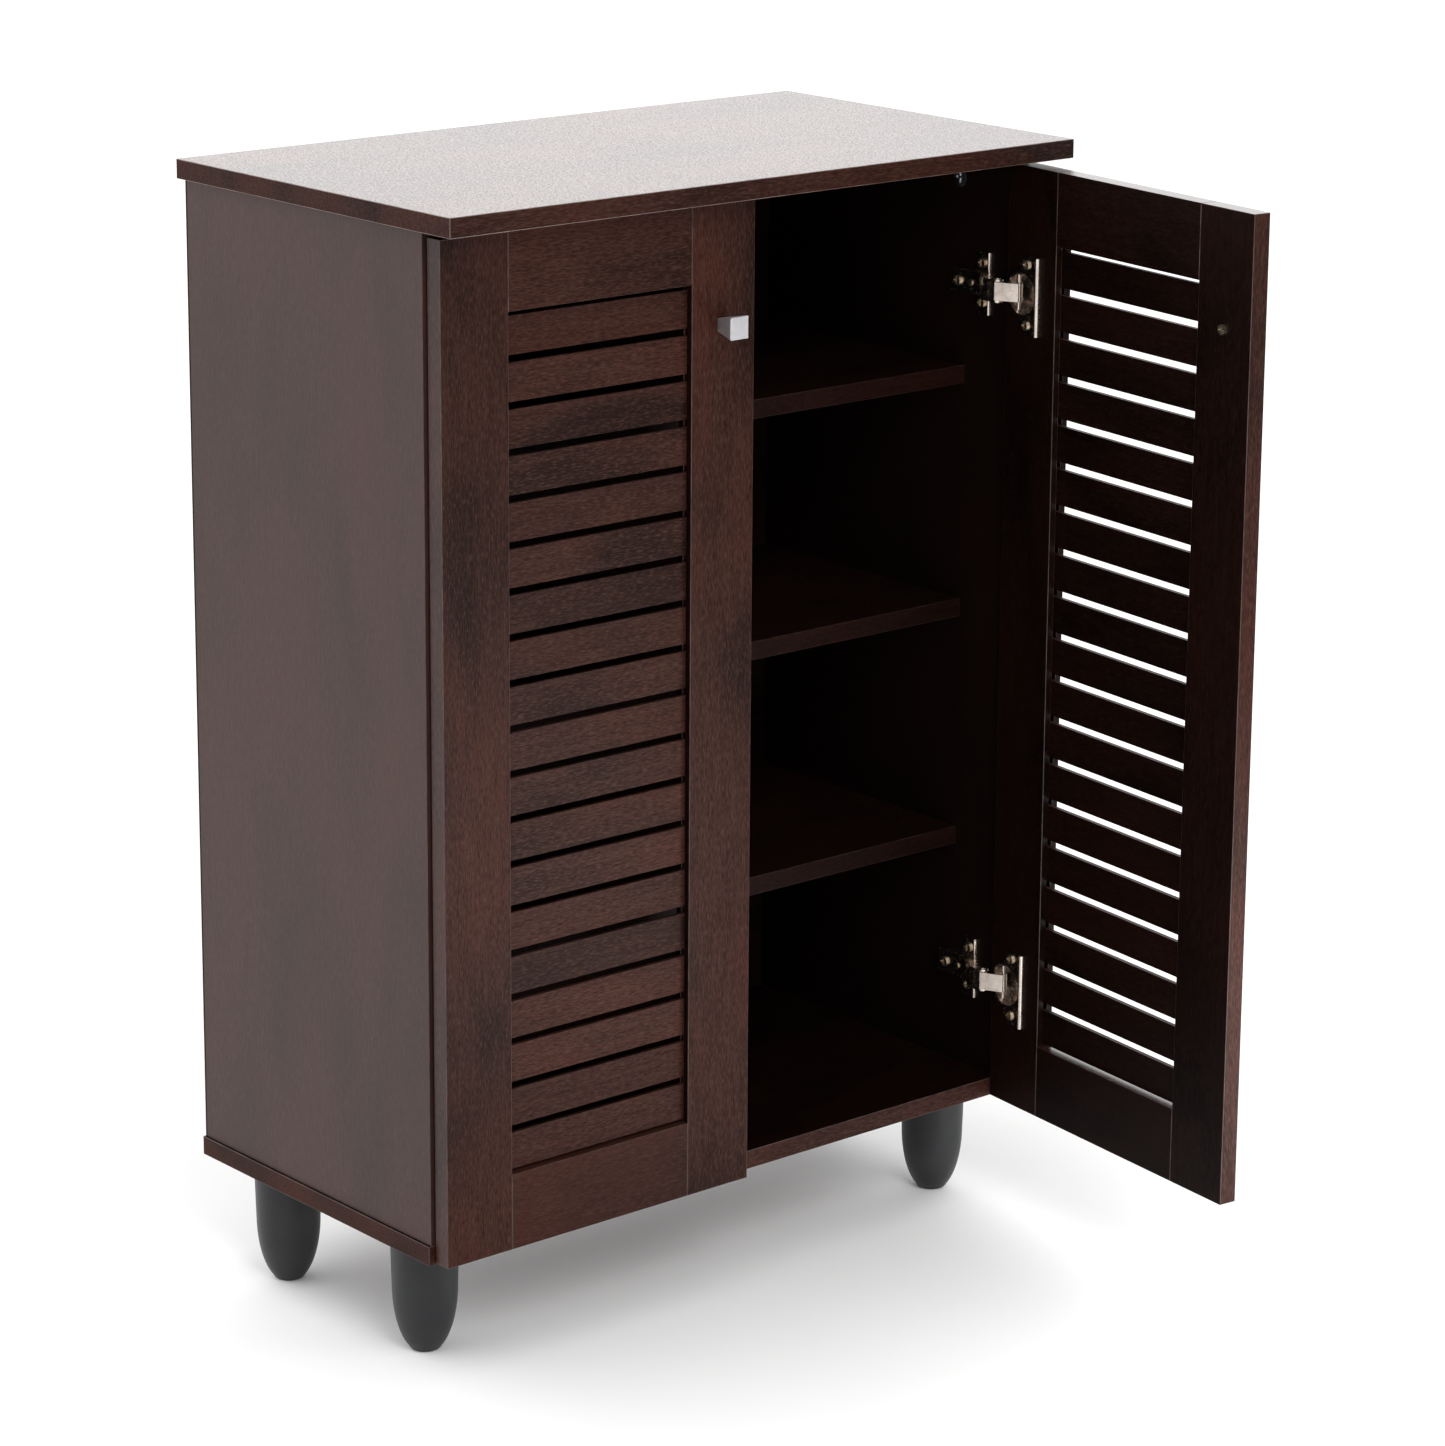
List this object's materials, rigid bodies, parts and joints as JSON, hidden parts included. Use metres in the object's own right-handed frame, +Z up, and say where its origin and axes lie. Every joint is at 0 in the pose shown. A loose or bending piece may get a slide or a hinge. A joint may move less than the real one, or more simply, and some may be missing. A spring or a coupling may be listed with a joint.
{
  "type": "shoe cabinet",
  "caption": "Dark wood-grain shoe cabinet on bullet feet, with slatted hinged doors, fixed shelves inside and small square metal knobs.",
  "frame": {"origin": "on the floor, below the middle of the line through the front edges of the two sides; with one door open this is also the bottom centre of the whole box", "axes": "+X right seen from the front, +Y to the back, +Z up; the doors face -Y"},
  "size_m": [0.606, 0.593, 0.886],
  "materials": {
    "top_board": "espresso wood-grain laminate, satin, grain along the width",
    "outer_board": "espresso wood-grain laminate, satin, upright grain",
    "inner_board": "espresso wood-grain laminate, matt",
    "door_stile_board": "espresso wood-grain laminate, satin, upright grain",
    "door_rail_board": "espresso wood-grain laminate, satin, level grain",
    "slat_board": "espresso wood-grain laminate, satin, level grain",
    "foot_lacquer": "satin charcoal plastic",
    "dowel_wood": "plain beech",
    "knob_metal": "satin nickel",
    "zinc": "zinc die-cast",
    "screw_steel": "zinc-plated steel",
    "hinge_steel": "nickel-plated steel"
  },
  "bodies": {
    "cabinet": {"top_panel": "top_board", "bottom_panel": "outer_board", "left_side_panel": "outer_board", "right_side_panel": "outer_board", "back_panel": "inner_board", "lower_shelf": "inner_board", "middle_shelf": "inner_board", "upper_shelf": "inner_board", "front_left_foot": "foot_lacquer", "front_right_foot": "foot_lacquer", "rear_left_foot": "foot_lacquer", "rear_right_foot": "foot_lacquer", "foot_bolts": "screw_steel", "cam_locks": "zinc", "cam_bolts": "zinc", "panel_dowels": "dowel_wood", "base_screws": "screw_steel", "shelf_supports": "screw_steel", "shelf_screws": "screw_steel", "back_nails": "screw_steel", "right_upper_plate": "hinge_steel", "right_lower_plate": "hinge_steel", "left_upper_plate": "hinge_steel", "left_lower_plate": "hinge_steel", "right_upper_arm": "hinge_steel", "right_lower_arm": "hinge_steel", "left_upper_arm": "hinge_steel", "left_lower_arm": "hinge_steel", "arm_pins": "hinge_steel", "plate_screws": "screw_steel", "arm_screws": "screw_steel"},
    "right_links": {"right_upper_link": "hinge_steel", "right_lower_link": "hinge_steel"},
    "right_door": {"right_hinge_stile": "door_stile_board", "right_free_stile": "door_stile_board", "right_top_rail": "door_rail_board", "right_low_rail": "door_rail_board", "right_slats": "slat_board", "right_dowels": "dowel_wood", "right_knob": "knob_metal", "right_knob_screw": "screw_steel", "right_upper_cup": "hinge_steel", "right_lower_cup": "hinge_steel", "right_cup_pins": "hinge_steel", "right_cup_screws": "screw_steel"},
    "left_links": {"left_upper_link": "hinge_steel", "left_lower_link": "hinge_steel"},
    "left_door": {"left_hinge_stile": "door_stile_board", "left_free_stile": "door_stile_board", "left_top_rail": "door_rail_board", "left_low_rail": "door_rail_board", "left_slats": "slat_board", "left_dowels": "dowel_wood", "left_knob": "knob_metal", "left_knob_screw": "screw_steel", "left_upper_cup": "hinge_steel", "left_lower_cup": "hinge_steel", "left_cup_pins": "hinge_steel", "left_cup_screws": "screw_steel"}
  },
  "joints": [
    {"name": "right_link_swing", "type": "hinge", "parent": "cabinet", "child": "right_links", "pos_m": [0.266, 0.00127, 0.4795], "axis": [0, 0, 1], "range_deg": [-5.41, 40.97]},
    {"name": "right_door_swing", "type": "hinge", "parent": "right_links", "child": "right_door", "pos_m": [0.27403, -0.01465, 0.4795], "axis": [0, 0, 1], "range_deg": [-124.92, 16.36]},
    {"name": "left_link_swing", "type": "hinge", "parent": "cabinet", "child": "left_links", "pos_m": [-0.266, 0.00127, 0.4795], "axis": [0, 0, -1], "range_deg": [-46.33, 0]},
    {"name": "left_door_swing", "type": "hinge", "parent": "left_links", "child": "left_door", "pos_m": [-0.2825, -0.0055, 0.4795], "axis": [0, 0, -1], "range_deg": [0, 141.28]}
  ],
  "couplings": [
    {"joint": "right_link_swing", "follows": "right_door_swing", "ratio": -0.32757},
    {"joint": "left_link_swing", "follows": "left_door_swing", "ratio": -0.32757}
  ]
}
